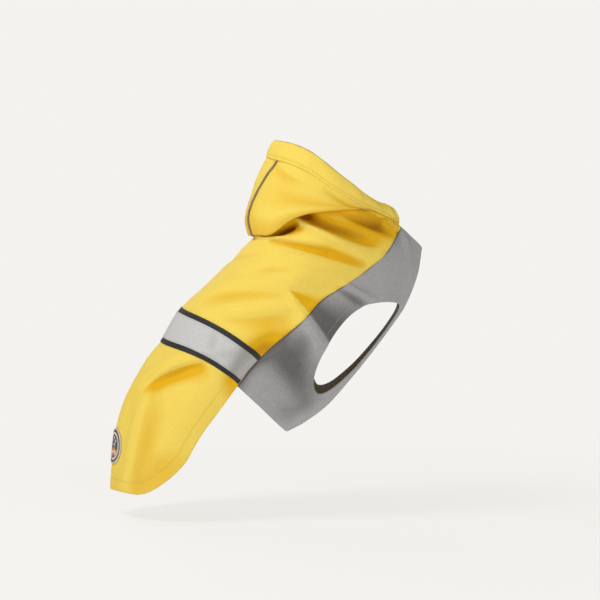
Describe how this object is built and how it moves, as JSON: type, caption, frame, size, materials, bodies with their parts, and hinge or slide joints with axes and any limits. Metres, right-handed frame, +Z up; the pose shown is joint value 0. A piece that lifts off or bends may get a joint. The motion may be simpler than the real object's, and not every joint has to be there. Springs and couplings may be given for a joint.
{
  "type": "dog raincoat",
  "caption": "Hooded rain jacket for a small dog: yellow back panel with a long tail flap, grey chest and belly panel with leg holes, reflective band.",
  "frame": {"origin": "inside of the back panel on its middle line, over the wearer's withers, where the wearer holds the coat up", "axes": "+X towards the wearer's head, +Y the wearer's left, +Z up, in the pose of a sitting dog"},
  "size_m": [0.346, 0.1673, 0.3827],
  "materials": {
    "yellow_shell": "satin",
    "grey_knit": "matte",
    "black_webbing": "matte",
    "silver_tape": "satin",
    "brown_piping": "matte",
    "woven_patch": "matte"
  },
  "bodies": {
    "root": {"back_panel": "yellow_shell", "under_panel": "grey_knit", "tape_band": "black_webbing", "reflective_tape": "silver_tape", "hood_centre": "yellow_shell", "hood_side_left": "yellow_shell", "hood_side_right": "yellow_shell", "hood_rim_casing": "yellow_shell", "hood_piping_left": "brown_piping", "hood_piping_right": "brown_piping", "badge": "woven_patch"}
  },
  "joints": []
}
